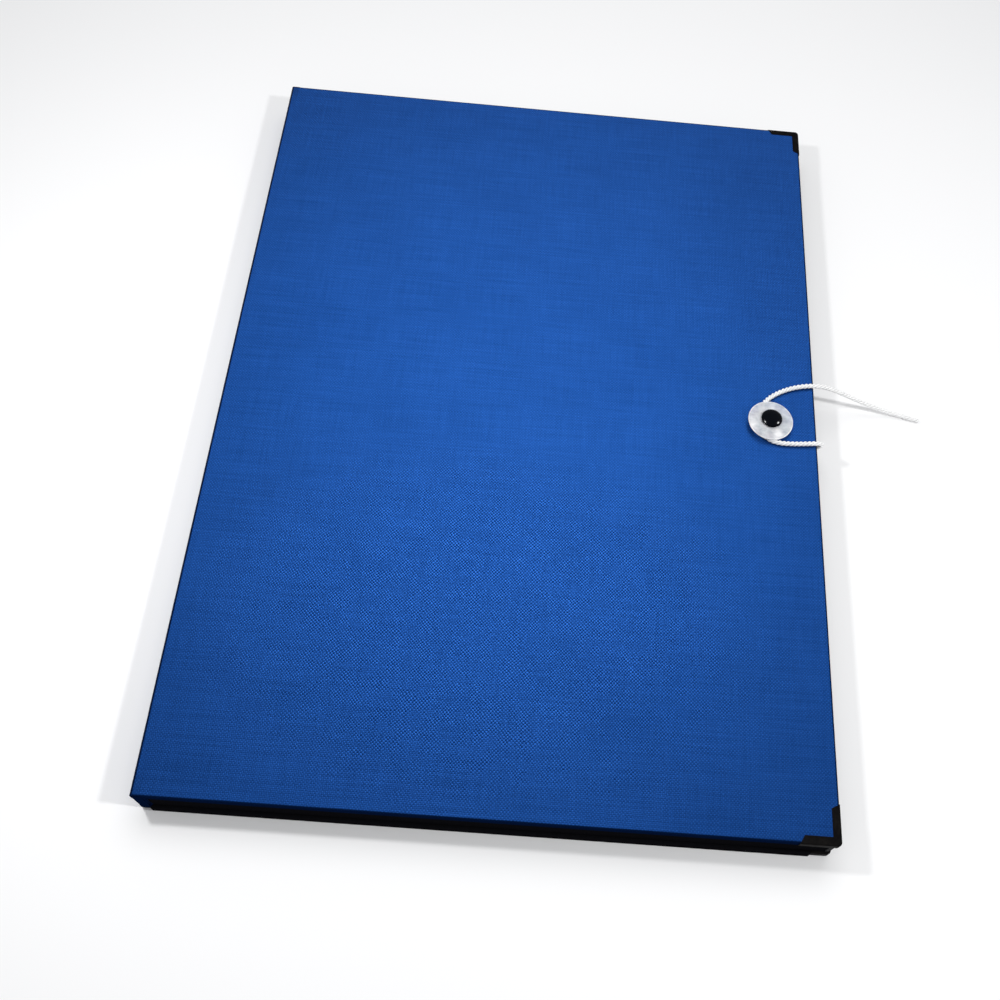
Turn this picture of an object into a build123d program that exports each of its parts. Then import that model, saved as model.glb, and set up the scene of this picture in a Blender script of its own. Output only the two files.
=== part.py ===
from build123d import *
from math import pi, radians, tan
import os

# A cloth-covered drawing portfolio for A4 sheets, lying closed on its back cover.
# Millimetres. X runs from the spine to the fore edge, Y from the tail to the head, Z is up.
# The origin is the centre of the face that the portfolio lies on.

# Closed size
cover_width = 230.0  # outer face of the spine to the metal corners
cover_height = 322.0  # over the metal corners at the head and the tail
closed_depth = 16.0  # outer face of the back cover to outer face of the front cover

# Covers and spine: greyboard wrapped in book cloth, with a lining in the window of the folded-over cloth
cloth = 0.4
board = 2.4
lining = 0.4
turn_in = 14.0  # width of the cloth that is folded over onto the inner face
crease_radius = 1.6  # outside radius of the cloth at a closed crease
joint_gap = 3.4  # from a crease to the edge of the boards beside it

# Metal corners of the covers
corner_leg = 14.0
corner_lip = 2.7
corner_sheet = 0.4
corner_stand = 0.3  # how far a corner stands out beyond the cloth
corner_round = 1.5

# Flaps: hinge cloth pasted round the back cover's edge, a wall, and a card flap
hem_proud = 0.5  # hinge cloth on the edge, beyond the metal corners
hem_lift = 0.2  # its lower side, above the table
hem_stop = 7.2  # its end, short of the metal corner's outside
hem_start = 6.0  # its other end, from the spine
hem_reach = 10.0  # its width on the inner face
wall_inset = 0.8  # outer face of a wall, inside the metal corners
wall_strip = 1.2  # stiff strip behind the cloth of a wall
wall_clear = 0.4  # between walls where they meet at a corner
wall_spine_clear = 1.2  # between the spine and the ends of the walls
strip_clear = 0.3  # above and below the stiff strip
crease_clear = 0.05  # between a wall and the hinge cloth that it stands on
flap_card = 1.2
flap_card_gap = 0.4  # between the cloth of a wall and the card
flap_margin = 12.0  # width of the cloth pasted on a flap
flap_depth_end = 68.0  # head and tail flaps
flap_depth_fore = 80.0
flap_mitre_gap = 0.6  # between a flap's slanted end and the wall beside it
flap_corner_round = 6.0
flap_clear = 0.4  # between a flap and the button's flange

# Button: a domed cap with a hollow shank, closed by a flanged post from inside
button_inset = 18.4  # from the fore edge
button_y = 1.3
cap_radius = 4.1
cap_rim = 0.5
cap_dome = 1.1
shank_radius = 2.1
shank_wall = 0.5
shank_clear = 0.05
flange_radius = 4.0
flange_height = 0.8
post_clear = 0.05

# Washer
washer_radius = 8.8
washer_thickness = 0.6
washer_bore_clear = 0.08
washer_gap = 0.2  # under the washer for the cord's play, and between washer and cap

# Cord
cord_diameter = 1.7
cord_hole_clear = 0.05
cord_glued = 12.0  # length that is glued into the back board

# Derived places
skin = max(cloth, lining)
cover_thick = cloth + board + skin
spine_x = -(cover_width + hem_proud) / 2
fore_x = spine_x + cover_width
end_y = cover_height / 2
cloth_fore = fore_x - corner_stand
cloth_end = end_y - corner_stand
board_start = spine_x + joint_gap
hem_top = cloth + board + 2 * cloth
wall_base = hem_top + crease_clear
flap_top = closed_depth - cover_thick - flange_height - flap_clear
card_top = flap_top - cloth
card_base = card_top - flap_card
button_x = fore_x - button_inset
washer_base = closed_depth + cord_diameter + washer_gap
cap_base = washer_base + washer_thickness + washer_gap
cord_hole_z = cloth + board / 2
cord_exit_x = fore_x + hem_proud


def block(x0, x1, y0, y1, z0, z1):
    """A box between two corners."""
    centre = Pos((x0 + x1) / 2, (y0 + y1) / 2, (z0 + z1) / 2)
    return centre * Box(x1 - x0, y1 - y0, z1 - z0)


def rod(x, y, z0, z1, radius):
    """An upright cylinder."""
    return Pos(x, y, (z0 + z1) / 2) * Cylinder(radius, z1 - z0)


def cover_plate(x1, half, z0, z1, rounding):
    """A plate from the boards' crease side to x1, with its two fore-edge corners rounded."""
    plate = block(board_start, x1, -half, half, z0, z1)
    return fillet(plate.edges().filter_by(Axis.Z).sort_by(Axis.X)[-2:], rounding)


def prism(points, z0, z1):
    """An upright prism on a polygon given in plan."""
    return Pos(0, 0, z0) * extrude(make_face(Polyline(*points, close=True)), z1 - z0)


def along_y(section, half):
    """A section drawn in X and Z, carried along Y to both sides."""
    return extrude(Plane.XZ * section, half, both=True)


def crease(centre_z, start_angle):
    """An eighth of a turn of cloth round a crease: a ring sector in X and Z."""
    centre = (spine_x + crease_radius, centre_z)
    outer = CenterArc(centre, crease_radius, start_angle, 45)
    inner = CenterArc(centre, crease_radius - cloth, start_angle, 45)
    ends = [Line(outer @ 0, inner @ 0), Line(outer @ 1, inner @ 1)]
    return along_y(make_face([outer, inner] + ends), cloth_end)


def head_to_tail(solid):
    """The same piece at the tail."""
    return mirror(solid, about=Plane.XZ)


def back_to_front(solid):
    """The same piece on the front cover, its faces turned the other way."""
    return mirror(solid, about=Plane.XY.offset(closed_depth / 2))


# Metal corner at the head of the back cover: a bent sheet with an L-shaped lip on both faces
def metal_corner():
    inner_x, inner_y = fore_x - corner_lip, end_y - corner_lip
    start_x, start_y = fore_x - corner_leg, end_y - corner_leg
    plan = [
        (start_x, end_y),
        (fore_x, end_y),
        (fore_x, start_y),
        (inner_x, start_y + corner_lip),
        (inner_x, inner_y),
        (start_x + corner_lip, inner_y),
    ]
    shell = prism(plan, 0, cover_thick)
    shell = fillet(outer_upright(shell), corner_round)
    hollow = block(
        start_x - corner_leg,
        fore_x - corner_sheet,
        start_y - corner_leg,
        end_y - corner_sheet,
        corner_sheet,
        cover_thick - corner_sheet,
    )
    hollow = fillet(outer_upright(hollow), corner_round - corner_sheet)
    return shell - hollow


def outer_upright(solid):
    """The upright edge nearest to the fore edge and the head."""
    return solid.edges().filter_by(Axis.Z).sort_by(lambda e: e.center().X + e.center().Y)[-1:]


back_head_corner = metal_corner()
back_tail_corner = head_to_tail(back_head_corner)
back_corners = [back_head_corner, back_tail_corner]


# A cover's board, its wrapped cloth and its lining, made for the back cover
def cover_board():
    rounding = corner_round - corner_stand - cloth
    whole = cover_plate(cloth_fore - cloth, cloth_end - cloth, cloth, cloth + board, rounding)
    return whole - back_corners


def cover_cloth():
    rounding = corner_round - corner_stand
    inner_face = cloth + board
    wrap = cover_plate(cloth_fore, cloth_end, 0, inner_face + cloth, rounding)
    core = cover_plate(cloth_fore - cloth, cloth_end - cloth, cloth, inner_face, rounding - cloth)
    window = block(
        board_start,
        cloth_fore - turn_in,
        turn_in - cloth_end,
        cloth_end - turn_in,
        inner_face,
        inner_face + cloth,
    )
    joint = block(spine_x + crease_radius, board_start, -cloth_end, cloth_end, 0, cloth)
    return (wrap - core - window + joint + crease(crease_radius, 225)) - back_corners


def cover_lining():
    return block(
        board_start,
        cloth_fore - turn_in,
        turn_in - cloth_end,
        cloth_end - turn_in,
        cloth + board,
        cloth + board + lining,
    )


# Back cover, with the hole for the cord's end in its fore edge
def cord_bore(radius, clear):
    """A rod along X from the outside of the fore hinge cloth into the back board."""
    length = cord_glued + clear
    centre = Pos(cord_exit_x - length / 2, button_y, cord_hole_z)
    return centre * Rot(0, 90, 0) * Cylinder(radius, length)


cord_hole = cord_bore(cord_diameter / 2 + cord_hole_clear, cord_hole_clear)
cord_anchor = cord_bore(cord_diameter / 2, 0)
back_board = cover_board() - cord_hole
back_cloth = cover_cloth() - cord_hole
back_lining = cover_lining()

# Front cover, with the hole for the button
button_hole = rod(button_x, button_y, 0, closed_depth, shank_radius + shank_clear)
front_board = back_to_front(cover_board()) - button_hole
front_cloth = back_to_front(cover_cloth()) - button_hole
front_lining = back_to_front(cover_lining()) - button_hole
front_head_corner = back_to_front(back_head_corner)
front_tail_corner = back_to_front(back_tail_corner)

# Spine: a board strip with the cloth wrapped over its ends and its own lining
spine_low, spine_high = joint_gap, closed_depth - joint_gap
spine_inside = spine_x + cloth + board
board_end = cloth_end - cloth
spine_board = block(spine_x + cloth, spine_inside, -board_end, board_end, spine_low, spine_high)
spine_wrap = block(spine_x, spine_inside + cloth, -cloth_end, cloth_end, spine_low, spine_high)
spine_window_half = cloth_end - turn_in
spine_window = block(
    spine_inside, spine_inside + cloth, -spine_window_half, spine_window_half, spine_low, spine_high
)
spine_face = block(
    spine_x,
    spine_x + cloth,
    -cloth_end,
    cloth_end,
    crease_radius,
    closed_depth - crease_radius,
)
spine_creases = [crease(crease_radius, 180), crease(closed_depth - crease_radius, 135)]
spine_cloth = spine_wrap - spine_board - spine_window + spine_face + spine_creases
spine_lining = block(
    spine_inside,
    spine_inside + lining,
    -spine_window_half,
    spine_window_half,
    spine_low,
    spine_high,
)


# Flaps, each made at the head of its own frame: U along the wall, V outwards from the metal corners' outside
wall_v = -wall_inset
wall_thick = cloth + wall_strip


def section_along_u(points, u0, u1):
    """A section drawn in V and Z, carried along U."""
    face = Plane.YZ * make_face(Polyline(*points, close=True))
    return Pos(u0, 0, 0) * extrude(face, u1 - u0)


def trapezoid(u0, u1, v_out, v_in, z0, z1, v_mitre):
    """A plate whose ends slant inwards at 45 degrees, from u0 and u1 at v_mitre."""
    out, deep = v_mitre - v_out, v_mitre - v_in
    plan = [(u0 + out, v_out), (u1 - out, v_out), (u1 - deep, v_in), (u0 + deep, v_in)]
    return prism(plan, z0, z1)


def gusset_base(u0, u1):
    """Hinge cloth pasted round the edge of the back cover and onto its inner face."""
    outer_leg = section_along_u(
        [
            (hem_proud, hem_lift),
            (hem_proud, hem_top),
            (-corner_stand, hem_top),
            (-corner_stand, hem_lift),
        ],
        u0,
        u1,
    )
    inner_edge = -corner_stand - hem_reach
    inner_leg = trapezoid(u0, u1, hem_proud, inner_edge, hem_top - cloth, hem_top, hem_proud)
    return outer_leg + inner_leg


def gusset_cloth(u0, u1):
    """The wall's stretch of hinge cloth, mitred at the upper crease."""
    inside = wall_v - cloth
    points = [(wall_v, wall_base), (wall_v, flap_top), (inside, card_top), (inside, wall_base)]
    return section_along_u(points, u0, u1)


def gusset_strip(u0, u1):
    """The stiff strip behind the wall's cloth."""
    low, high = wall_base + strip_clear, card_base - strip_clear
    return block(u0, u1, wall_v - wall_thick, wall_v - cloth, low, high)


def flap_cloth(u0, u1):
    """The stretch of hinge cloth on the flap, mitred at the upper crease."""
    inside = wall_v - flap_margin
    points = [(wall_v, flap_top), (inside, flap_top), (inside, card_top), (wall_v - cloth, card_top)]
    strip = section_along_u(points, u0, u1)
    return strip & trapezoid(u0, u1, wall_v, inside, card_top, flap_top, wall_v)


def flap_card_plate(u0, u1, depth):
    """The card flap, with its free corners rounded."""
    v_out, v_in = wall_v - cloth - flap_card_gap, wall_v - depth
    plate = trapezoid(u0, u1, v_out, v_in, card_base, card_top, wall_v)
    return fillet(plate.edges().filter_by(Axis.Z).sort_by(Axis.Y)[:2], flap_corner_round)


def flap_pieces(hem_ends, wall_ends, flap_ends, depth):
    """The five pieces of one flap in its own frame, by the last words of their names."""
    return {
        "gusset_base": gusset_base(*hem_ends),
        "gusset_cloth": gusset_cloth(*wall_ends),
        "gusset_strip": gusset_strip(*wall_ends),
        "flap_cloth": flap_cloth(*flap_ends),
        "flap_card": flap_card_plate(*flap_ends, depth),
    }


side_gap = wall_thick + flap_mitre_gap
wall_spine_end = spine_x + cloth + board + skin + wall_spine_clear
end_flap = flap_pieces(
    (spine_x + hem_start, fore_x - hem_stop),
    (wall_spine_end, fore_x + wall_v - wall_thick - wall_clear),
    (wall_spine_end, fore_x + wall_v - side_gap),
    flap_depth_end,
)
fore_half_hem = end_y - hem_stop
fore_half_wall = end_y + wall_v
fore_half_flap = end_y + wall_v - side_gap
fore_flap = flap_pieces(
    (-fore_half_hem, fore_half_hem),
    (-fore_half_wall, fore_half_wall),
    (-fore_half_flap, fore_half_flap),
    flap_depth_fore,
)
to_head = Pos(0, end_y, 0)
to_fore = Pos(fore_x, 0, 0) * Rot(0, 0, -90)
head = {name: to_head * piece for name, piece in end_flap.items()}
tail = {name: head_to_tail(piece) for name, piece in head.items()}
fore = {name: to_fore * piece for name, piece in fore_flap.items()}
for flap in (head, tail, fore):
    flap["gusset_base"] -= back_corners
fore["gusset_base"] -= cord_hole


# Button: the cap's hollow shank stands on the flange of the post inside the front cover
def rivet_cap():
    inner_face = closed_depth - cover_thick
    rim = rod(button_x, button_y, cap_base, cap_base + cap_rim, cap_radius)
    ball_radius = (cap_radius**2 + cap_dome**2) / (2 * cap_dome)
    ball_z = cap_base + cap_rim + cap_dome - ball_radius
    ball = Pos(button_x, button_y, ball_z) * Sphere(ball_radius)
    dome = ball & rod(
        button_x, button_y, cap_base + cap_rim, cap_base + cap_rim + cap_dome, cap_radius
    )
    shank = rod(button_x, button_y, inner_face, cap_base, shank_radius)
    bore = rod(button_x, button_y, inner_face, cap_base, shank_radius - shank_wall)
    return rim + dome + shank - bore


def rivet_base():
    inner_face = closed_depth - cover_thick
    flange = rod(button_x, button_y, inner_face - flange_height, inner_face, flange_radius)
    post_radius = shank_radius - shank_wall - post_clear
    post = rod(button_x, button_y, inner_face, cap_base - post_clear, post_radius)
    return flange + post


def button_washer():
    disc = rod(button_x, button_y, washer_base, washer_base + washer_thickness, washer_radius)
    bore_radius = shank_radius + washer_bore_clear
    return disc - rod(
        button_x, button_y, washer_base, washer_base + washer_thickness, bore_radius
    )


# Cord: out of the back cover's edge, over the front cover, round the button under the washer
# and back over the fore edge down to the table. The points stay as chosen.
cord_route = [
    (115.25, 1.3, 1.6),
    (117.4, 1.3, 1.6),
    (118.9, 0.0, 3.2),
    (119.3, -2.4, 6.6),
    (118.6, -4.9, 11.4),
    (117.1, -7.1, 17.5),
    (110.9, -7.5, 17.1),
    (104.6, -8.2, 16.95),
    (98.8, -8.3, 16.95),
    (94.4, -6.6, 16.95),
    (91.2, -2.9, 16.95),
    (90.3, 1.9, 16.95),
    (91.3, 6.6, 16.95),
    (94.0, 10.6, 16.95),
    (98.0, 13.8, 16.95),
    (103.0, 16.8, 16.98),
    (108.7, 18.8, 17.05),
    (114.6, 19.8, 17.15),
    (120.0, 20.3, 15.9),
    (125.8, 20.8, 12.9),
    (132.2, 21.3, 9.1),
    (138.9, 21.4, 5.6),
    (146.2, 21.0, 2.9),
    (154.2, 20.1, 1.4),
    (162.6, 18.4, 0.95),
]


def corner_radii(points):
    """For each inner point: 0.45 of the shorter run, divided by the tangent of half the turn."""
    radii = []
    for before, at, after in zip(points, points[1:], points[2:]):
        first, second = Vector(at) - Vector(before), Vector(after) - Vector(at)
        turn = radians(first.get_angle(second))
        radii.append(0.45 * min(first.length, second.length) / tan(turn / 2))
    return radii


def cord_tube():
    radii = corner_radii(cord_route)
    path = FilletPolyline(*cord_route, radius=radii)
    start = Plane(origin=path @ 0, z_dir=path % 0)
    tube = sweep(start * Circle(cord_diameter / 2), path=path)
    print("cord radii:", " ".join(f"{value:.1f}" for value in radii))
    expected = pi * (cord_diameter / 2) ** 2 * path.length
    print(f"cord length {path.length:.1f}, volume {tube.volume:.2f}, section x length {expected:.2f}")
    return tube


nodes = {
    "back_board": back_board,
    "back_cloth": back_cloth,
    "back_lining": back_lining,
    "back_head_corner": back_head_corner,
    "back_tail_corner": back_tail_corner,
    "spine_board": spine_board,
    "spine_cloth": spine_cloth,
    "spine_lining": spine_lining,
    "front_board": front_board,
    "front_cloth": front_cloth,
    "front_lining": front_lining,
    "front_head_corner": front_head_corner,
    "front_tail_corner": front_tail_corner,
    "rivet_cap": rivet_cap(),
    "rivet_base": rivet_base(),
    "washer": button_washer(),
    "cord": cord_tube(),
    "cord_anchor": cord_anchor,
}
for side, flap in (("head", head), ("tail", tail), ("fore", fore)):
    nodes.update({f"{side}_{name}": piece for name, piece in flap.items()})

os.makedirs("parts", exist_ok=True)
for name, solid in nodes.items():
    export_step(solid, f"parts/{name}.step")
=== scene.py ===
import bmesh
import bpy
import numpy as np
from mathutils import Matrix


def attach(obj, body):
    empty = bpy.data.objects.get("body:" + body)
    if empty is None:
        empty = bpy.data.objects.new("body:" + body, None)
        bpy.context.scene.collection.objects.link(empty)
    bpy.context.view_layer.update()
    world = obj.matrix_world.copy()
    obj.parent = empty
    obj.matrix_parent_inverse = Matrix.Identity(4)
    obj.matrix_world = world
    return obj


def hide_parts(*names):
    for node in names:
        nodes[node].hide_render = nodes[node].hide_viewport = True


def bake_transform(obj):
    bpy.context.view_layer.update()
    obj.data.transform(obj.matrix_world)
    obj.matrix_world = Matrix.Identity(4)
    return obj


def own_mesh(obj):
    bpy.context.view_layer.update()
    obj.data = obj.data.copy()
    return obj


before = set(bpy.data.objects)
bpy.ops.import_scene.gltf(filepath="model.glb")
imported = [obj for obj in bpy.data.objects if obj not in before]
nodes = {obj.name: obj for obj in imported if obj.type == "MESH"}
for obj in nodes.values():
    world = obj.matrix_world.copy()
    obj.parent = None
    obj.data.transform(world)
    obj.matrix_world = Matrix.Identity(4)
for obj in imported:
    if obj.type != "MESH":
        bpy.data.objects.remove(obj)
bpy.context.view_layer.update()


# Camera
# A phone held above the tail edge of the portfolio and tilted a little towards its head, with the
# picture cut out beside the middle of the lens.
camera_place = (0.0015866, -0.2393018, 0.3690477)
camera_axes = [
    (0.9963991, 0.05572843, 0.06389967),
    (-0.0783847, 0.89275294, 0.44367558),
    (-0.03232127, -0.4470867, 0.8939065),
]


def stand(thing, axes, place):
    """Puts a camera or a lamp at place, with its own x, y and z along the three rows of axes."""
    bpy.context.scene.collection.objects.link(thing)
    turned = Matrix(np.array(axes).T.tolist()).to_4x4()
    turned.translation = place
    thing.matrix_world = turned


camera = bpy.data.objects.new("camera", bpy.data.cameras.new("camera"))
stand(camera, camera_axes, camera_place)
camera.data.sensor_width = 36.0
camera.data.lens = 39.287
camera.data.shift_x = -0.051711
camera.data.shift_y = 0.052437
camera.data.clip_start = 0.01
bpy.context.scene.camera = camera
bpy.context.scene.view_settings.view_transform = "Standard"


# Table and lamps
# A smooth white table top under two small shaded lamps, one at each side of the camera, and a wide
# soft one above the head edge. One more lamp gives the blue cloth its sheen, and two give the
# button and the washer their glints.
class Reading:
    """A socket whose value changes over a surface: + - * / and ** on readings add Math nodes."""

    def __init__(self, finish, socket):
        self.finish, self.socket = finish, socket

    def out(self, name):
        """Another output of the same node."""
        return Reading(self.finish, self.socket.node.outputs[name])

    def maths(self, operation, *values):
        return self.finish.node("ShaderNodeMath", {"operation": operation}, values)

    def __add__(self, other):
        return self.maths("ADD", self, other)

    def __radd__(self, other):
        return self.maths("ADD", other, self)

    def __sub__(self, other):
        return self.maths("SUBTRACT", self, other)

    def __rsub__(self, other):
        return self.maths("SUBTRACT", other, self)

    def __mul__(self, other):
        return self.maths("MULTIPLY", self, other)

    def __rmul__(self, other):
        return self.maths("MULTIPLY", other, self)

    def __truediv__(self, other):
        return self.maths("DIVIDE", self, other)

    def __pow__(self, other):
        return self.maths("POWER", self, other)

    def __abs__(self):
        return self.maths("ABSOLUTE", self)

    def sine(self):
        return self.maths("SINE", self)

    def larger(self, other):
        return self.maths("MAXIMUM", self, other)

    def held(self):
        """Held between 0 and 1."""
        return self.finish.node("ShaderNodeClamp", {}, [self, 0.0, 1.0])


class Finish:
    """The surface of one material: a Principled shader and the nodes that feed it."""

    def __init__(self, name, **shader):
        self.material = bpy.data.materials.new(name)
        self.material.use_nodes = True
        self.tree = self.material.node_tree
        self.tree.nodes.clear()
        output = self.tree.nodes.new("ShaderNodeOutputMaterial")
        self.shader = self.tree.nodes.new("ShaderNodeBsdfPrincipled")
        self.tree.links.new(self.shader.outputs[0], output.inputs[0])
        self.give(**shader)

    def feed(self, socket, value):
        """Links a reading to a socket, or sets the socket to a plain value."""
        if isinstance(value, Reading):
            self.tree.links.new(value.socket, socket)
        elif socket.type == "RGBA" and len(value) == 3:
            socket.default_value = (*value, 1.0)
        else:
            socket.default_value = value

    def give(self, **shader):
        """Feeds sockets of the shader; an underscore stands for a space in a socket's name."""
        for name, value in shader.items():
            self.feed(self.shader.inputs[name.replace("_", " ")], value)

    def node(self, kind, settings, values):
        """One node: its settings first, then its sockets' values or links, by name or in order."""
        made = self.tree.nodes.new(kind)
        for name, value in settings.items():
            setattr(made, name, value)
        for name, value in values.items() if isinstance(values, dict) else enumerate(values):
            self.feed(made.inputs[name], value)
        return Reading(self, made.outputs[0])

    def mix(self, amount, first, second):
        """The colour first where amount is 0, second where it is 1."""
        values = {0: amount, 6: first, 7: second}
        return self.node("ShaderNodeMix", {"data_type": "RGBA"}, values).out(2)

    def stretch(self, at, scale):
        """A place multiplied by scale, axis by axis."""
        return self.node("ShaderNodeVectorMath", {"operation": "MULTIPLY"}, [at, scale])

    def place(self, scale=(1.0, 1.0, 1.0)):
        """Where a point lies on the object, in millimetres, stretched by scale."""
        at = self.node("ShaderNodeTexCoord", {}, {}).out("Object")
        return self.stretch(at, tuple(1000.0 * share for share in scale))

    def cloth_place(self):
        """Where a point lies on the piece's own cloth map, in millimetres."""
        return self.node("ShaderNodeUVMap", {"uv_map": "cloth"}, {})

    def first_two(self, at):
        """The first and the second coordinate of a place."""
        parts = self.node("ShaderNodeSeparateXYZ", {}, [at])
        return parts, parts.out("Y")

    def noise(self, at, scale, detail=2.0, roughness=0.5):
        """Soft random values about 0.5, in lumps of 1 / scale."""
        values = {"Vector": at, "Scale": scale, "Detail": detail, "Roughness": roughness}
        return self.node("ShaderNodeTexNoise", {"normalize": True}, values)

    def relief(self, height, depth, strength=1.0):
        """Bends the light as if the surface rose by height times depth, in millimetres."""
        values = {"Strength": strength, "Distance": depth / 1000.0, "Height": height}
        self.give(Normal=self.node("ShaderNodeBump", {}, values))


table_finish = Finish("table_top", Roughness=0.6, Specular_IOR_Level=0.1)
table_tone = table_finish.noise(table_finish.place(), scale=0.004, detail=1.0)
table_finish.give(
    Base_Color=table_finish.mix(table_tone, (0.91, 0.91, 0.915), (0.93, 0.93, 0.93))
)
table_half = 3.0
table_level = -0.00015
table_corners = [(-1, -1), (1, -1), (1, 1), (-1, 1)]
table_mesh = bpy.data.meshes.new("table_top")
table_mesh.from_pydata(
    [(x * table_half, y * table_half, table_level) for x, y in table_corners], [], [(0, 1, 2, 3)]
)
table_mesh.materials.append(table_finish.material)
table_top = bpy.data.objects.new("table_top", table_mesh)
bpy.context.scene.collection.objects.link(table_top)


def lamp(name, place, size, watts, matt=True, gloss=True, only=None):
    """A round lamp at place, in metres, facing the portfolio. It may light only matt or only glossy
    surfaces, or only the pieces that are linked to a collection of their own."""
    light = bpy.data.lights.new(name, "AREA")
    light.shape, light.size, light.energy = "DISK", size, watts
    shade = bpy.data.objects.new(name, light)
    away = np.array(place, float)
    side = np.cross((0.0, 1.0, 0.0), away)
    side, away = side / np.linalg.norm(side), away / np.linalg.norm(away)
    stand(shade, [side, np.cross(away, side), away], place)
    shade.visible_diffuse, shade.visible_glossy = matt, gloss
    if only is not None:
        shade.light_linking.receiver_collection = only


blue_pieces = bpy.data.collections.new("blue_pieces")
shiny_pieces = bpy.data.collections.new("shiny_pieces")
lamp("lamp_right", (0.362, -0.189, 0.52), 0.05, 1.47, gloss=False)
lamp("lamp_left", (-0.191, -0.049, 0.345), 0.04, 0.56, gloss=False)
lamp("lamp_above", (0.04, 0.30, 0.75), 0.6, 1.95, gloss=False)
lamp("sheen_above", (0.0, 0.43, 0.75), 0.7, 6.2, matt=False, only=blue_pieces)
lamp("glint_right", (0.54, 0.0, 0.42), 0.14, 5.0, matt=False, only=shiny_pieces)
lamp("glint_left", (-0.191, -0.049, 0.345), 0.12, 4.0, matt=False, only=shiny_pieces)
room = bpy.data.worlds.new("room")
room.use_nodes = True
room_light = room.node_tree.nodes["Background"].inputs
room_light["Color"].default_value = (0.97, 0.98, 1.0, 1.0)
room_light["Strength"].default_value = 0.42
bpy.context.scene.world = room


# Boards
# Greyboard of 2.4 mm, cut square on a guillotine: one for each cover and a strip for the spine.
# Cloth covers them nearly all over; grey shows only at the cut edges beside the creases.
def wear(name, finish):
    """Puts a finish on a node of the solid model."""
    nodes[name].data.materials.clear()
    nodes[name].data.materials.append(finish.material)


board_finish = Finish("greyboard", Roughness=0.9, Specular_IOR_Level=0.2)
pulp = board_finish.noise(board_finish.place(), scale=0.9, detail=5.0, roughness=0.7)
layers = board_finish.noise(board_finish.place((0.08, 0.08, 3.0)), scale=1.0)
board_tone = (pulp * 0.6 + layers * 0.4).held()
board_finish.give(Base_Color=board_finish.mix(board_tone, (0.23, 0.21, 0.19), (0.40, 0.37, 0.33)))
board_finish.relief(pulp * 0.6 + layers, 0.08, 0.5)
for board in ("back_board", "spine_board", "front_board"):
    wear(board, board_finish)


# Blue cover cloth
# One length of plain-woven linen book cloth with a paper back, glued over both boards and the spine
# and folded 14 mm over their edges. Both threads have slubs. In one patch on each cover the crowns
# of the upper thread are painted as light dots, a painted highlight where light catches the cloth.
cover_fore = 114.45
cover_end = 160.7
cover_thick = 3.2
board_start = -111.85
spine_face = -115.25
closed_depth = 16.0
crease_x = -113.65
crease_radius = 1.6
crease_arc = crease_radius * np.pi / 2
cloth_thick = 0.4
skin_thick = cloth_thick - 0.02
turn_in = 14.0
outer_round = 0.5
inner_round = 0.35
corner_round = 1.2
flat_from_round = 0.06
cover_share = np.linspace(0.0, 1.0, 12)

# The cloth's own map: x on the front cover, carried on round the spine to the back cover, and y.
back_cloth_start = 2 * crease_x - 2 * crease_arc - (closed_depth - 2 * crease_radius)
cloth_middle = back_cloth_start / 2


def weave(across, along, pitch_across, pitch_along):
    """The rise of a plain weave, 0 to 1, and which thread lies on top, which changes from square to
    square with the sign of sin(pi across) sin(pi along). A thread is |sin| high across itself, and
    half as high at the ends of its square."""
    warp_wave = (across * (np.pi / pitch_across)).sine()
    weft_wave = (along * (np.pi / pitch_along)).sine()
    over = (warp_wave * weft_wave * 3.0 + 0.5).held()
    warp_rise, weft_rise = abs(warp_wave), abs(weft_wave)
    warp_top = warp_rise * (weft_rise * 0.5 + 0.5)
    weft_top = weft_rise * (warp_rise * 0.5 + 0.5)
    return over * warp_top + (1.0 - over) * weft_top, over


linen = Finish("blue_linen", Roughness=0.35, Specular_IOR_Level=0.0)
linen_map = linen.cloth_place()
linen_u, linen_v = linen.first_two(linen_map)
from_spine = abs(linen_u - cloth_middle)

# The threads drift over centimetres and shake over a millimetre or two. The grey of each noise's
# colour serves as its second value.
warp_pitch, weft_pitch = 0.59, 0.64
drift = linen.noise(linen_map, scale=0.05)
shake = linen.noise(linen_map, scale=0.7, detail=1.0)
linen_rise, linen_over = weave(
    linen_u + drift * 2.0 + shake * 0.5,
    linen_v + drift.out("Color") * 1.5 + shake.out("Color") * 0.5,
    warp_pitch,
    weft_pitch,
)
weft_slub = linen.noise(linen.stretch(linen_map, (0.035, 1.3, 1.0)), 1.0, 3.0, 0.6)
warp_slub = linen.noise(linen.stretch(linen_map, (1.3, 0.05, 1.0)), 1.0, 3.0, 0.6)
linen_cloud = linen.noise(linen_map, scale=0.03, detail=3.0, roughness=0.6)

# The light dots are painted highlights on the upper thread's crowns, in one wide round patch in the
# lower half of each cover, in spots of a few millimetres, thread by thread.
patch_from_spine, patch_half_width = 118.0, 95.0
patch_from_middle, patch_half_height = 92.0, 66.0
patch_across = abs(from_spine - patch_from_spine) / patch_half_width
patch_along = abs(linen_v + patch_from_middle) / patch_half_height
patch = (1.3 - patch_across * patch_across - patch_along * patch_along).held() * 0.8 + 0.2
dot_spots = (linen.noise(linen_map, 0.2, 3.0, 0.7) * 3.0 - 0.8).held()
dot_crowns = (linen.noise(linen_map, 1.7, 2.0, 0.7) * 3.4 - 0.9).held() * 1.2
painted_dot_highlight = dot_spots * dot_crowns * patch
dot_spark = (linen.noise(linen_map, 2.1, 2.0, 0.6) * 7.0 - 4.2).held()

# How light the cloth is, 0 to 1: the threads' roundness, slubs and clouds add their shares, and the
# painted highlight lightens the upper thread's squares within the patch.
linen_mean = 0.28
linen_light = (
    linen_rise * 0.18
    + (weft_slub - 0.5) * 0.34
    + (warp_slub - 0.5) * 0.22
    + (linen_cloud - 0.5) * 0.16
    + (linen_over - 0.47) * (painted_dot_highlight * 0.95 + 0.05)
    + linen_mean
).held()
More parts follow.
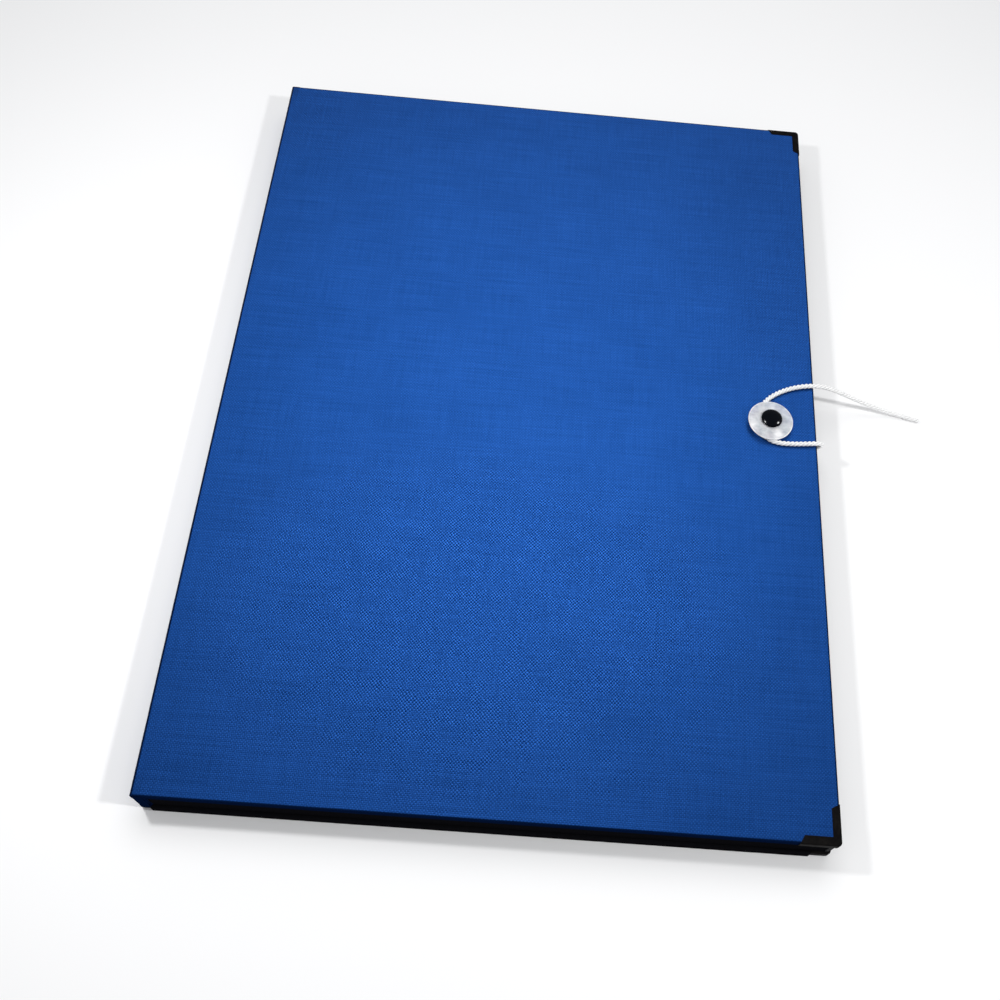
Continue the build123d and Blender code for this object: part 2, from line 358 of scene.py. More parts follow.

# Painted shade: the cloth's colour is darkened where it is drawn over the boards' edges and
# pressed into the creases, where shade falls. Over the edges the cloth also loses its metallic
# sheen.
edge_shade_start, edge_shade_stop, edge_shade_sharpness = -0.8, 3.6, 2.5
crease_line, crease_shade_half_width = 7.66, 0.4
past_edge = (from_spine - (cover_fore - cloth_middle)).larger(abs(linen_v) - cover_end)
painted_edge_shade = (
    ((past_edge - edge_shade_start) * edge_shade_sharpness).held()
    * ((edge_shade_stop - past_edge) * edge_shade_sharpness).held()
)
painted_crease_shade = (2.0 - abs(from_spine - crease_line) / crease_shade_half_width).held()
linen_painted_shade = painted_edge_shade.larger(painted_crease_shade) * 0.88
# Painted highlight: the lightest dots on the upper thread's crowns, within the patch.
linen_painted_highlight = (linen_over * painted_dot_highlight * dot_spark * 0.7).held()
linen_blue = linen.mix(linen_light, (0.0016, 0.0137, 0.067), (0.0184, 0.097, 0.394))
linen_highlighted = linen.mix(linen_painted_highlight, linen_blue, (0.055, 0.20, 0.46))
linen_metallic = 0.45
# The colour is the weave's blue with the painted highlight dots, darkened by the painted shade.
linen.give(
    Base_Color=linen.mix(linen_painted_shade, linen_highlighted, (0.0005, 0.002, 0.010)),
    Metallic=linen_metallic - painted_edge_shade * linen_metallic,
)
linen.relief(linen_rise + weft_slub * 0.7 + warp_slub * 0.5, 0.05, 0.8)


def surface(name, patches, finish, closed=True):
    """One mesh from grids of points in millimetres, each with a grid of places on the cloth or
    None. Equal points are merged, and on a closed shell all faces are turned outwards."""
    points, places, faces, count = [], [], [], 0
    for grid, cloth in patches:
        rows, columns = grid.shape[:2]
        index = count + np.arange(rows * columns).reshape(rows, columns)
        corners = [index[:-1, :-1], index[1:, :-1], index[1:, 1:], index[:-1, 1:]]
        faces.append(np.stack(corners, -1).reshape(-1, 4))
        points.append(grid.reshape(-1, 3) / 1000.0)
        places.append(np.zeros((rows * columns, 2)) if cloth is None else cloth.reshape(-1, 2))
        count += rows * columns
    points, places, faces = (np.concatenate(parts) for parts in (points, places, faces))
    mesh = bpy.data.meshes.new(name)
    mesh.from_pydata(points.tolist(), [], faces.tolist())
    cloth_map = mesh.uv_layers.new(name="cloth")
    cloth_map.data.foreach_set("uv", places[faces.ravel()].ravel())
    same_point, sliver, sharp = 3e-6, 1e-7, np.radians(50)
    work = bmesh.new()
    work.from_mesh(mesh)
    bmesh.ops.remove_doubles(work, verts=work.verts, dist=same_point)
    bmesh.ops.dissolve_degenerate(work, edges=work.edges, dist=sliver)
    if closed:
        bmesh.ops.recalc_face_normals(work, faces=work.faces)
    for edge in work.edges:
        edge.smooth = len(edge.link_faces) == 2 and edge.calc_face_angle() < sharp
    work.to_mesh(mesh)
    work.free()
    mesh.polygons.foreach_set("use_smooth", [True] * len(mesh.polygons))
    mesh.materials.append(finish.material)
    made = bpy.data.objects.new(name, mesh)
    bpy.context.scene.collection.objects.link(made)
    return made


def bend(centre, radius, first, last, count=6):
    """Points on a circle, from angle first to angle last in degrees."""
    angle = np.radians(np.linspace(first, last, count))
    return np.stack([centre[0] + radius * np.cos(angle), centre[1] + radius * np.sin(angle)], 1)


def wrap_profile(reach, depth):
    """The cloth's way round an edge as (inset from the edge, depth under the outer face): in from
    reach, round the outer corner, across the edge, round the inner corner and back to the cut edge
    of the turn-in."""
    near = outer_round + flat_from_round
    flat = np.array([(reach, 0.0), (reach / 3, 0.0), (near, 0.0)])
    outer = bend((outer_round, outer_round), outer_round, -90, -180)
    edge = [(0.0, near), (0.0, depth - inner_round - flat_from_round)]
    inner = bend((inner_round, depth - inner_round), inner_round, 180, 90)
    inside = [(inner_round + flat_from_round, depth), (reach / 3, depth), (reach, depth)]
    return np.concatenate([flat, outer, edge, inner, inside])


def unrolled(profile):
    """For each point of a profile, its inset as if the cloth lay flat, negative past the edge."""
    run = np.r_[0.0, np.cumsum(np.linalg.norm(np.diff(profile, axis=0), axis=1))]
    return profile[0, 0] - run


def round_three_edges(profile, flat_inset):
    """The profile carried along the head, fore and tail edges of a cover, as points (x, y, depth),
    and their places on the flat cloth. An inset under the corner's radius bends round the corner;
    past it, the edges meet in a mitre."""
    inset, depth = profile[:, 0][:, None], profile[:, 1][:, None]
    mitre = np.maximum(inset, corner_round)
    bow = mitre - inset
    share, steps = cover_share[None], len(cover_share)
    ones = np.ones_like(share)
    angle = np.radians(np.linspace(90, 0, 6))[None]
    head = (board_start + (cover_fore - mitre - board_start) * share, (cover_end - inset) * ones)
    turn = (cover_fore - mitre + bow * np.cos(angle), cover_end - mitre + bow * np.sin(angle))
    fore = ((cover_fore - inset) * ones, (cover_end - mitre) * (1 - 2 * share))
    x = np.concatenate([head[0], turn[0], fore[0], turn[0][:, ::-1], head[0][:, ::-1]], 1)
    y = np.concatenate([head[1], turn[1], fore[1], -turn[1][:, ::-1], -head[1][:, ::-1]], 1)
    past = inset - flat_inset[:, None]
    towards_x = np.r_[np.zeros(steps), np.sin(np.pi / 2 - angle[0]), np.ones(steps)]
    towards_y = np.r_[np.ones(steps), np.cos(np.pi / 2 - angle[0]), np.zeros(steps)]
    towards_x = np.r_[towards_x, towards_x[:-steps][::-1]]
    towards_y = np.r_[towards_y, -towards_y[:-steps][::-1]]
    cloth = np.stack([x + past * towards_x[None], y + past * towards_y[None]], -1)
    return np.stack([x, y, depth * np.ones_like(x)], -1), cloth


def turn_outwards(made, axis, way):
    """Turns every face of a skin the way of its widest one, which looks along axis, with or against
    it as way is 1 or -1."""
    work = bmesh.new()
    work.from_mesh(made.data)
    bmesh.ops.recalc_face_normals(work, faces=work.faces)
    widest = max(work.faces, key=lambda face: face.calc_area())
    if widest.normal[axis] * way < 0:
        bmesh.ops.reverse_faces(work, faces=work.faces)
    work.to_mesh(made.data)
    work.free()


def thicken(made, thickness):
    """Gives a skin its thickness, inwards."""
    shell = made.modifiers.new("thickness", "SOLIDIFY")
    shell.thickness = thickness / 1000.0
    shell.offset = -1.0


def cover_skin(name, front, body, node):
    """The cloth of one cover: the wrap round three edges and the rest of the face inside it."""
    profile = wrap_profile(turn_in, cover_thick)
    x = board_start + (cover_fore - turn_in - board_start) * cover_share
    y = (cover_end - turn_in) * (2 * cover_share - 1)
    face = np.meshgrid(x, y, indexing="ij")
    face = np.stack([*face, 0 * face[0]], -1)
    patches = [round_three_edges(profile, unrolled(profile)), (face, face[..., :2].copy())]
    for grid, cloth in patches:
        if front:
            grid[..., 2] = closed_depth - grid[..., 2]
        else:
            cloth[..., 0] = back_cloth_start - cloth[..., 0]
    made = surface(name, patches, linen, closed=False)
    turn_outwards(made, 2, 1 if front else -1)
    thicken(made, skin_thick)
    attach(made, body)
    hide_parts(node)
    blue_pieces.objects.link(made)


cover_skin("front_cover_cloth", True, "front_cover", "front_cloth")
cover_skin("back_cover_cloth", False, "back_cover", "back_cloth")


# Spine cloth
# The same length of cloth across the spine board, folded over the board's head and tail. The
# fold's ends reach over the two creases beside the board.
spine_low = 3.4
spine_end_low = 0.8
end_fold = wrap_profile(turn_in, cover_thick)
end_flat = cover_end - unrolled(end_fold)
spine_y = np.concatenate([cover_end - end_fold[::-1, 0], end_fold[:, 0] - cover_end])
spine_v = np.concatenate([end_flat[::-1], -end_flat])
spine_depth = np.concatenate([end_fold[::-1, 1], end_fold[:, 1]])
end_band, end_depth = 0.36, 0.45
over_crease = (cover_end - abs(spine_y) < end_band) & (spine_depth > end_depth)
first_z = np.where(over_crease, spine_end_low, spine_low)[:, None]
spine_z = first_z + (closed_depth - 2 * first_z) * np.linspace(0, 1, 5)[None]
rows = np.ones_like(spine_z)
spine_u = crease_x - crease_arc - (closed_depth - crease_radius - spine_z)
spine_grid = [spine_face + spine_depth[:, None] * rows, spine_y[:, None] * rows, spine_z]
spine_patch = np.stack(spine_grid, -1), np.stack([spine_u, spine_v[:, None] * rows], -1)
spine_skin = surface("spine_cover_cloth", [spine_patch], linen, closed=False)
turn_outwards(spine_skin, 0, -1)
thicken(spine_skin, skin_thick)
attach(spine_skin, "spine")
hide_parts("spine_cloth")
blue_pieces.objects.link(spine_skin)


# Creases of the blue cloth
# Between each board and the spine board the cloth is free for a few millimetres, so that the spine
# can stand up and lie down.
crease_bend = 0.9
half_cloth = cloth_thick / 2
pivot_inset = crease_radius * (1 - np.cos(np.pi / 4))
pivot = spine_face + pivot_inset, pivot_inset


def cloth_strip(name, path, ends, half, finish, put, cloth=None, cut=False, columns=40):
    """A strip of cloth with round edges. path is its middle in section, and ends its two ends along
    the fold for each point of the path. The section is the path moved out and in by half. Near the
    strip's ends half shrinks as on a semicircle, and the path's own ends are rounded in the same
    way unless they are cut."""
    path, ends = np.asarray(path, float), np.asarray(ends, float)
    along = np.gradient(path, axis=0)
    along /= np.linalg.norm(along, axis=1)[:, None]
    normal = np.stack([along[:, 1], -along[:, 0]], 1)
    run = np.r_[0.0, np.cumsum(np.linalg.norm(np.diff(path, axis=0), axis=1))]
    there = np.arange(len(path))
    if cut:
        row = np.r_[there, there[::-1], 0]
        lean = np.concatenate([normal, -normal[::-1], normal[:1]])
    else:
        cap = np.radians([-60, -30, 0, 30, 60])[:, None]
        last = np.cos(cap) * along[-1] - np.sin(cap) * normal[-1]
        first = np.sin(cap) * normal[0] - np.cos(cap) * along[0]
        row = np.r_[there, [len(path) - 1] * len(cap), there[::-1], [0] * len(cap), 0]
        lean = np.concatenate([normal, last, -normal[::-1], first, normal[:1]])
    tip = np.radians([0, 30, 60, 90])
    inner = np.linspace(0, 1, columns)[1:-1]
    share = np.r_[np.zeros(len(tip)), inner, np.ones(len(tip))]
    nudge = np.r_[1 - np.cos(tip), 0 * inner, np.cos(tip[::-1]) - 1] * half
    thin = np.r_[np.sin(tip), 0 * inner + 1, np.sin(tip[::-1])] * half
    place = ends[row, :1] * (1 - share)[None] + ends[row, 1:] * share[None] + nudge[None]
    section = path[row][:, None] + lean[:, None] * thin[None, :, None]
    grid = put(place, section[..., 0], section[..., 1])
    run = run[row][:, None] + 0 * place
    cloth_grid = np.stack([run, place], -1) if cloth is None else cloth(run, place)
    return surface(name, [(grid, cloth_grid)], finish)


def crease_path(inset, flat_start, flat_end):
    """From a board's edge along the flat cloth, a quarter turn round the crease and up the spine,
    at inset under the cloth's outer face."""
    arc = bend((spine_face + crease_bend, crease_bend), crease_bend - inset, 270, 180, 15)
    share = np.array([0.0, 0.25, 0.5, 0.75])[:, None]
    start, stop = np.array([(flat_start, inset), (arc[-1, 0], flat_end)])
    turn_start, turn_stop = np.array([arc[0, 0], inset]), arc[-1]
    first = start + (turn_start - start) * share
    last = turn_stop + (stop - turn_stop) * (share + 0.25)
    return np.concatenate([first, arc, last])


def back_side(y, x, z):
    return np.stack([x, y, z], -1)


def front_side(y, x, z):
    return np.stack([x, y, closed_depth - z], -1)


def back_crease_map(run, y):
    return np.stack([back_cloth_start - board_start + run, y], -1)


def front_crease_map(run, y):
    return np.stack([board_start - run, y], -1)


def hinge_zone(half_width, front):
    """A point before and one after the crease's middle, on the diagonal across it, in metres."""
    zone = []
    for step in (half_width, -half_width):
        x, z = pivot[0] + step, pivot[1] - step
        zone.append((x / 1000, 0.0, (closed_depth - z if front else z) / 1000))
    return zone


creases = (("back", back_side, False), ("front", front_side, True))
crease_middle = crease_path(half_cloth, board_start, spine_low)
crease_ends = np.tile([-cover_end, cover_end], (len(crease_middle), 1))
for cover, put, front in creases:
    name = f"{cover}_crease_cloth"
    crease_map = front_crease_map if front else back_crease_map
    strip = cloth_strip(
        name, crease_middle, crease_ends, half_cloth, linen, put, crease_map, cut=True
    )
    near, far = hinge_zone(1.0, front)
    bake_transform(strip)
    blue_pieces.objects.link(strip)


# Linings
# Black uncoated paper pasted inside both covers and the spine, with a strip of it over each crease
# that bends with the cloth.
paper = Finish("black_lining", Roughness=0.82, Specular_IOR_Level=0.08)
paper_fibre = paper.noise(paper.place((1.0, 0.35, 1.0)), scale=1.6, detail=4.0, roughness=0.65)
paper_cloud = paper.noise(paper.place(), scale=0.03, detail=3.0)
paper_tone = (paper_fibre * 0.7 + paper_cloud * 0.3).held()
paper.give(Base_Color=paper.mix(paper_tone, (0.009, 0.009, 0.011), (0.030, 0.030, 0.034)))
paper.relief(paper_fibre, 0.03, 0.5)
for lining in ("back_lining", "spine_lining", "front_lining"):
    wear(lining, paper)

# The strip's way in section, as (x, z) at the back cover: over the cover's board and down its edge,
# along the floor of the crease, up inside the spine cloth, and over the spine board's edge.
strip_half = 0.05
strip_end = 158.0
over_board, down_board = 3.26, -111.93
crease_floor, crease_wall = 0.47, -114.78
over_spine, up_spine = 3.33, -111.98
lining_strip = np.concatenate(
    [
        [(-104.0, over_board), (-108.0, over_board), (-111.6, over_board)],
        bend((down_board + 0.15, over_board - 0.15), 0.15, 90, 180, 4),
        [(down_board, 2.0), (down_board, 0.75)],
        bend((down_board - 0.2, crease_floor + 0.2), 0.2, 0, -90, 4),
        [(-112.9, crease_floor)],
        bend((crease_x, crease_radius), crease_radius - crease_floor, 270, 180, 21),
        [(crease_wall, 2.4), (crease_wall, over_spine - 0.2)],
        bend((crease_wall + 0.2, over_spine - 0.2), 0.2, 180, 90, 4),
        [(-113.4, over_spine)],
        bend((up_spine - 0.15, over_spine + 0.15), 0.15, -90, 0, 4),
        [(up_spine, 4.5), (up_spine, 7.2)],
    ]
)
strip_ends = np.tile([-strip_end, strip_end], (len(lining_strip), 1))
for cover, put, front in creases:
    strip = cloth_strip(f"{cover}_crease_lining", lining_strip, strip_ends, strip_half, paper, put)
    near, far = hinge_zone(0.06, front)
    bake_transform(strip)


# Metal corners
# Sheet steel of 0.4 mm, pressed to an L with lips over both faces, their ends cut at a slant,
# lacquered black and squeezed on the fore-edge corners of both covers.
metal_fore = 114.75
metal_end = 161.0
metal_leg = 14.0
metal_lip = 3.0
metal_slant = 0.55
metal_sheet = 0.4
metal_bend = 0.6
metal_corner = 1.5
metal_flat = metal_bend + 0.05
metal_edge = 0.06
metal_proud = 0.12
metal_depth = cover_thick + 0.08

metal = Finish("black_metal", Specular_IOR_Level=0.01)
metal_grain = metal.noise(metal.place(), scale=1.1, detail=4.0, roughness=0.6)
metal_rub = metal.noise(metal.place(), scale=0.22, detail=3.0, roughness=0.7)
metal.give(
    Base_Color=metal.mix(
        metal_grain * metal_rub * 2.0, (0.002, 0.002, 0.003), (0.011, 0.010, 0.009)
    ),
    Roughness=metal_rub * 0.2 + 0.36,
)
metal.relief(metal_grain, 0.03, 0.35)


def sheet_line(rise, depth, offset):
    """The bent sheet in section as (inset, depth), at offset under its outer face: lip, bend, edge,
    bend, lip."""
    radius = metal_bend - offset
    lip = np.array([metal_lip, metal_lip / 2, metal_flat])
    first = np.stack([lip, 0 * lip + rise + offset], 1)
    outer = bend((metal_bend, rise + metal_bend), radius, -90, -180)
    edge = [(offset, rise + metal_flat), (offset, depth - metal_flat)]
    inner = bend((metal_bend, depth - metal_bend), radius, 180, 90)
    last = np.stack([lip[::-1], 0 * lip + depth - offset], 1)
    return np.concatenate([first, outer, edge, inner, last])


def round_corner(line):
    """The line carried along the head edge, round the corner and down the fore edge. A point inset
    by d starts and stops metal_leg - metal_slant d from the corner, so the lips' ends slant."""
    inset, depth = line[:, 0][:, None], line[:, 1][:, None]
    mitre = np.maximum(inset, metal_corner)
    bow, reach = mitre - inset, metal_leg - metal_slant * inset
    share, angle = np.linspace(0, 1, 8)[None], np.radians(np.linspace(90, 0, 9))[None]
    x = [
        metal_fore - reach + (reach - mitre) * share,
        metal_fore - mitre + bow * np.cos(angle),
        metal_fore - inset + 0 * share,
    ]
    y = [
        metal_end - inset + 0 * share,
        metal_end - mitre + bow * np.sin(angle),
        metal_end - mitre - (reach - mitre) * share,
    ]
    x, y = np.concatenate(x, 1), np.concatenate(y, 1)
    return np.stack([x, y, depth + 0 * x], -1)


for cover, front in (("back", False), ("front", True)):
    for end, side in (("head", 1.0), ("tail", -1.0)):
        rise = -metal_proud if front else 0.0
        outside = round_corner(sheet_line(rise, metal_depth, 0.0))
        inside = round_corner(sheet_line(rise, metal_depth, metal_sheet))
        caps = [np.stack([outside[:, column], inside[:, column]]) for column in (0, -1)]
        lips = [np.stack([outside[row], inside[row]]) for row in (0, -1)]
        patches = []
        for grid in [outside, inside, *caps, *lips]:
            grid = grid * (1.0, side, 1.0)
            if front:
                grid[..., 2] = closed_depth - grid[..., 2]
            patches.append((grid, None))
        piece = surface(f"{cover}_{end}_metal_corner", patches, metal)
        edge_round = piece.modifiers.new("edge", "BEVEL")
        edge_round.width, edge_round.segments = metal_edge / 1000, 2
        edge_round.limit_method, edge_round.angle_limit = "ANGLE", np.radians(50)
        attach(piece, f"{cover}_cover")
        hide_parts(f"{cover}_{end}_corner")


# Flaps
# Three flaps of black card hang on the back cover by black book cloth. Each strip of cloth is
# pasted round the cover's edge, stands up as the wall, with a stiff strip behind it, and is pasted
# on the card.
hinge_cloth = Finish("black_hinge_cloth", Roughness=0.7, Specular_IOR_Level=0.0)
hinge_map = hinge_cloth.cloth_place()
hinge_pitch = 0.42
hinge_rise, _ = weave(*hinge_cloth.first_two(hinge_map), hinge_pitch, hinge_pitch)
hinge_slub = hinge_cloth.noise(hinge_map, scale=0.8, detail=3.0, roughness=0.6)
hinge_tone = (hinge_rise * 0.6 + hinge_slub * 0.4).held()
hinge_cloth.give(
    Base_Color=hinge_cloth.mix(hinge_tone, (0.001, 0.001, 0.0015), (0.009, 0.009, 0.011))
)
hinge_cloth.relief(hinge_rise + hinge_slub * 0.5, 0.1, 0.7)
card = Finish("black_card", Roughness=0.78, Specular_IOR_Level=0.08)
card_fibre = card.noise(card.place((0.5, 1.0, 1.0)), scale=1.3, detail=4.0, roughness=0.65)
card_cloud = card.noise(card.place(), scale=0.025)
card_tone = (card_fibre * 0.6 + card_cloud * 0.4).held()
card.give(Base_Color=card.mix(card_tone, (0.010, 0.010, 0.011), (0.034, 0.034, 0.036)))
card.relief(card_fibre, 0.03, 0.5)

# The sections are given as (v, z), where v is how far a point stands past the metal corners' outer
# line: the hem round the cover's edge, the foot and the top of the wall, and where these two fold.
hem_line = 0.5 - half_cloth
hem_face = 3.6 - half_cloth
hem_bend = 0.35
hem_square = 0.6
wall_line = -0.8 - half_cloth
wall_half = half_cloth - 0.02
wall_middle = 7.6
foot_face = 3.65 + 0.04
foot_bend = 0.5
foot_fold = ((-1.15, 3.4), (-0.45, 4.1))
flap_face = 11.6 - half_cloth
flap_bend = 0.4
flap_fold = ((-0.3, 11.1), (-1.3, 12.1))
hem = np.concatenate(
    [
        [(hem_line, 0.42), (hem_line, 1.8), (hem_line, 3.0)],
        bend((hem_line - hem_bend, hem_face - hem_bend), hem_bend, 0, 90),
        [(-0.6, hem_face), (-2.0, hem_face), (-6.0, hem_face), (-10.1, hem_face)],
    ]
)
foot = np.concatenate(
    [
        [(-3.4, foot_face), (-2.4, foot_face)],
        bend((wall_line - foot_bend, foot_face + foot_bend), foot_bend, -90, 0, 7),
        [(wall_line, 5.0), (wall_line, 6.4), (wall_line, wall_middle)],
    ]
)
top = np.concatenate(
    [
        [(wall_line, wall_middle), (wall_line, 9.0), (wall_line, 10.6)],
        bend((wall_line - flap_bend, flap_face - flap_bend), flap_bend, 0, 90, 7),
        [(-2.6, flap_face), (-7.0, flap_face), (-12.6, flap_face)],
    ]
)

# The hem's and the flap's ends are cut at 45 degrees, the hem's past its first hem_square mm.
hem_shrink = np.maximum(0.0, hem_line + half_cloth - hem_square - hem[:, 0])
flap_shrink = np.maximum(0.0, wall_line - flap_bend - top[:, 0])
on_wall = (top[:, 0] > wall_line - flap_bend / 2)[:, None]


def at_head(u, v, z):
    return np.stack([u, metal_end + v, z], -1)


def at_tail(u, v, z):
    return np.stack([u, -metal_end - v, z], -1)


def at_fore(u, v, z):
    return np.stack([metal_fore + v, -u, z], -1)


def slanted(ends, shrink):
    """Two ends that come nearer to each other by shrink."""
    return np.stack([ends[0] + shrink, ends[1] - shrink], 1)


def across_fold(put, fold):
    """The two points of a fold at the middle of an edge, in metres."""
    spots = [put(np.array(0.0), np.array(v), np.array(z)) for v, z in fold]
    return [[value / 1000.0 for value in spot] for spot in spots]


short_ends = ((-111.5, 107.55), (-110.85, 111.95), (-110.85, 111.75))
long_ends = ((-153.8, 153.8), (-160.2, 160.2), (-158.0, 158.0))
for side, put, (hem_ends, wall_ends, flap_ends) in (
    ("head", at_head, short_ends),
    ("tail", at_tail, short_ends),
    ("fore", at_fore, long_ends),
):
    ends = slanted(hem_ends, hem_shrink)
    piece = cloth_strip(f"{side}_hem_cloth", hem, ends, half_cloth, hinge_cloth, put)
    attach(piece, "back_cover")
    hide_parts(f"{side}_gusset_base")

    ends = np.tile(wall_ends, (len(foot), 1))
    piece = cloth_strip(f"{side}_wall_foot", foot, ends, wall_half, hinge_cloth, put, cut=True)
    near, far = across_fold(put, foot_fold)
    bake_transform(piece)

    ends = np.where(on_wall, np.tile(wall_ends, (len(top), 1)), slanted(flap_ends, flap_shrink))
    piece = cloth_strip(f"{side}_wall_top", top, ends, wall_half, hinge_cloth, put, cut=True)
    near, far = across_fold(put, flap_fold)
    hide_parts(f"{side}_gusset_cloth", f"{side}_flap_cloth")
    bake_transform(piece)
    wear(f"{side}_gusset_strip", card)
    wear(f"{side}_flap_card", card)


# Button
# A stamped steel cap with a glossy black lacquer and a hollow shank. The shank is closed on the
# post of a flanged disc inside the front cover.
button_at = (96.35, 1.3)
cap_radius, cap_low, cap_top = 4.1, 18.7, 20.3
dome_inset, dome_drop, dome_power = 0.12, 0.98, 3.4
rim_round = 0.32
shank_radius, shank_low = 2.1, 12.85
flange_radius, flange_low, flange_top, flange_round = 4.0, 12.0, 12.8, 0.25
lacquer = Finish("black_rivet", Specular_IOR_Level=0.1)
lacquer_speck = lacquer.noise(lacquer.place(), scale=1.6, detail=3.0)
lacquer.give(
    Base_Color=lacquer.mix(lacquer_speck, (0.0004, 0.0008, 0.0022), (0.0012, 0.0022, 0.005)),
    Roughness=lacquer_speck * 0.08 + 0.10,
)


def turned_piece(name, profile, finish, centre=button_at, steps=96, lift=None):
    """A profile of (radius, height) turned about an upright axis; lift adds a height to a point."""
    profile = np.asarray(profile, float)
    angle = np.linspace(0, 2 * np.pi, steps + 1)[None]
    radius = profile[:, 0][:, None]
    height = profile[:, 1][:, None] + 0 * angle
    x, y = radius * np.cos(angle), radius * np.sin(angle)
    z = height if lift is None else height + lift(x, y)
    grid = np.stack([x + centre[0], y + centre[1], z], -1)
    return surface(name, [(grid, np.stack([radius * angle, height], -1))], finish)


dome_share = np.linspace(0, 1, 16)
dome_radius = (cap_radius - dome_inset) * dome_share
dome_height = cap_top - dome_drop * dome_share**dome_power
cap_profile = np.concatenate(
    [
        np.stack([dome_radius, dome_height], 1),
        bend((cap_radius - rim_round, cap_low + rim_round), rim_round, 50, -90, 11),
        [(3.3, cap_low), (2.4, cap_low), (shank_radius, cap_low - 0.15)],
        [(shank_radius, 16.0), (shank_radius, shank_low), (0.0, shank_low)],
    ]
)
cap = turned_piece("button_cap", cap_profile, lacquer)
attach(cap, "front_cover")
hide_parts("rivet_cap")
shiny_pieces.objects.link(cap)
flange_bend = flange_radius - flange_round
flange_profile = np.concatenate(
    [
        [(0.0, 12.25), (1.2, 12.22), (1.7, 12.08), (2.2, flange_low), (3.4, flange_low)],
        bend((flange_bend, flange_low + flange_round), flange_round, -90, 0, 5),
        bend((flange_bend, flange_top - flange_round), flange_round, 0, 90, 5),
        [(2.0, flange_top), (0.0, flange_top)],
    ]
)
post = turned_piece("button_flange", flange_profile, lacquer)
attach(post, "front_cover")
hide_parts("rivet_base")


# Washer
# A thin disc punched from pearly plastic, loose on the shank. It rests on the cord and is bent up
# a little on the side where the cord goes round.
washer_radius, washer_hole, washer_round = 8.8, 2.78, 0.3
washer_middle = 17.9 + washer_round
washer_at = (button_at[0] - 0.35, button_at[1] - 0.6)
flex_start, flex_rise = 4.5, 0.3
pearl = Finish("pearl_washer", Specular_IOR_Level=0.5)
pearl_place = pearl.place()
pearl_x, pearl_y = pearl.first_two(pearl_place)
pearl_cloud = pearl.noise(pearl_place, scale=0.22, detail=3.0, roughness=0.6)
pearl_silk = pearl.noise(pearl.place((0.4, 1.6, 1.0)), scale=0.5, detail=3.0, roughness=0.6)


def pearl_way(x, y):
    """How far a point of the washer lies from the upright line through (x, y) off its middle."""
    across, along = pearl_x - (washer_at[0] + x), pearl_y - (washer_at[1] + y)
    return (across * across + along * along) ** 0.5


def painted_pearl_highlight(x, y, reach, light):
    """A painted highlight: a round light spot about (x, y) that fades out at reach."""
    return (1.0 - pearl_way(x, y) / reach).held() * light


# Painted highlights: three light spots painted where reflections fall on the washer.
painted_pearl_highlights = painted_pearl_highlight(2.6, -6.3, 3.2, 1.0) + painted_pearl_highlight(-7.4, -2.6, 3.0, 0.8)
painted_pearl_highlights = painted_pearl_highlights + painted_pearl_highlight(1.0, 5.6, 3.0, 0.5)
# The rim's last 0.6 mm is painted whiter, a painted glow of the lit edge, and is made more opaque.
pearl_rim_glow = ((pearl_way(0.0, 0.0) - 8.2) * 2.2).held() * 0.6
pearl_veins = (pearl_cloud - 0.5) * 1.6 + (pearl_silk - 0.5) * 0.7 + 0.25
pearl_mask = (pearl_veins + painted_pearl_highlights + pearl_rim_glow).held()
pearl_tint = (pearl.noise(pearl_place, scale=0.35) * 3.0 - 1.0).held()
pearl_ground = pearl.mix(pearl_tint, (0.60, 0.66, 0.70), (0.70, 0.68, 0.72))
pearl.give(
    Base_Color=pearl.mix(pearl_mask, pearl_ground, (0.97, 0.97, 0.97)),
    Roughness=pearl_silk * 0.2 + 0.12,
    Alpha=pearl_mask * 0.25 + 0.45,
)
pearl.relief(pearl_cloud, 0.15, 0.3)


def washer_flex(x, y):
    """Up by flex_rise times the square of the way from the cap to the rim, times the cosine of the
    angle to the spine side where that is positive."""
    radius = np.hypot(x, y)
    way = np.clip((radius - flex_start) / (washer_radius - flex_start), 0.0, 1.0)
    return flex_rise * way**2 * np.clip(-x / np.maximum(radius, 1e-6), 0.0, 1.0)


washer_span = np.linspace(3.4, 8.3, 12)
hole_bend = (washer_hole + washer_round, washer_middle)
washer_line = np.concatenate(
    [
        bend(hole_bend, washer_round, 180, 90, 5),
        [(radius, washer_middle + washer_round) for radius in washer_span],
        bend((washer_radius - washer_round, washer_middle), washer_round, 90, -90, 9),
        [(radius, washer_middle - washer_round) for radius in washer_span[::-1]],
        bend(hole_bend, washer_round, 270, 180, 5),
    ]
)
washer = turned_piece("pearl_washer", washer_line, pearl, washer_at, lift=washer_flex, steps=128)
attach(washer, "washer")
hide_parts("washer")
shiny_pieces.objects.link(washer)


# Cord
# A limp white cotton cord of three strands, glued into the edge of the back board. It comes up over
# the fore edge, goes once round the button under the washer and lies down on the table.
cord_route = [
    (115.25, 1.3, 1.6),
    (116.7, 1.3, 1.6),
    (117.4, 0.3, 2.9),
    (117.6, -2.0, 6.4),
    (117.1, -4.6, 11.2),
    (116.2, -7.2, 17.3),
    (110.9, -7.8, 17.1),
    (104.6, -8.4, 16.95),
    (98.8, -8.5, 16.95),
    (94.6, -6.8, 16.95),
    (92.3, -3.1, 16.95),
    (91.6, 1.6, 16.95),
    (92.3, 6.3, 16.95),
    (94.4, 10.4, 16.95),
    (98.0, 13.8, 16.95),
    (103.0, 16.8, 16.98),
    (108.7, 18.8, 17.05),
    (114.6, 19.8, 17.15),
    (120.0, 20.3, 15.9),
    (125.8, 20.8, 12.9),
    (132.2, 21.3, 9.1),
    (138.9, 21.4, 5.6),
    (146.2, 21.0, 2.9),
    (154.2, 20.1, 1.4),
    (162.6, 18.4, 0.95),
]
cord_radius = 0.95
strand_radius = 0.44
cord_lay = 4.95
cord_step = 0.3


